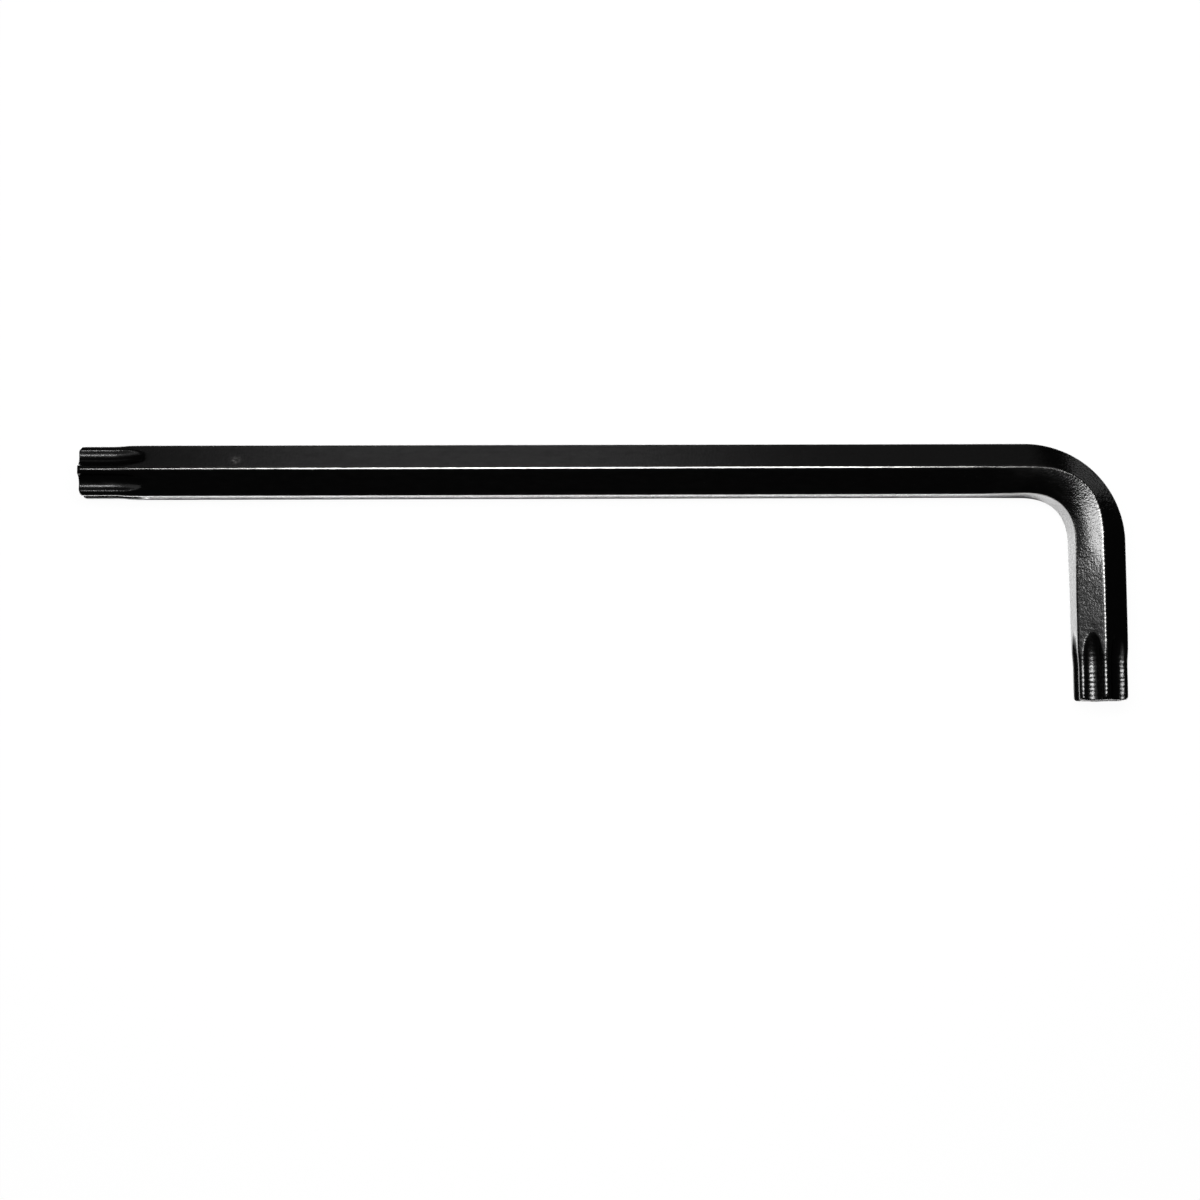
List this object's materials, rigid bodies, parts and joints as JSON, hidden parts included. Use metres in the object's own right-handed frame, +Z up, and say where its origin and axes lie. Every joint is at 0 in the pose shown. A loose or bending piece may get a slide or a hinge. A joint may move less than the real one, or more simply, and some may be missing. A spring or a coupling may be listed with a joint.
{
  "type": "star key",
  "caption": "L-shaped star key bent from hexagonal steel bar, with a hexalobular star milled on the end of its long and short arms, for turning internal star screws.",
  "frame": {"origin": "middle of the key's box in X and Y, on the surface that the key lies on", "axes": "+X along the long arm, from its star to the bend; -Y along the short arm, from the bend to its star; +Z up, square to the plane of the two arms"},
  "size_m": [0.1634, 0.0404, 0.0091],
  "materials": {
    "black_steel": "hardened tool steel, blackened and oiled, satin to semi-gloss"
  },
  "bodies": {
    "root": {"key": "black_steel"}
  },
  "joints": []
}
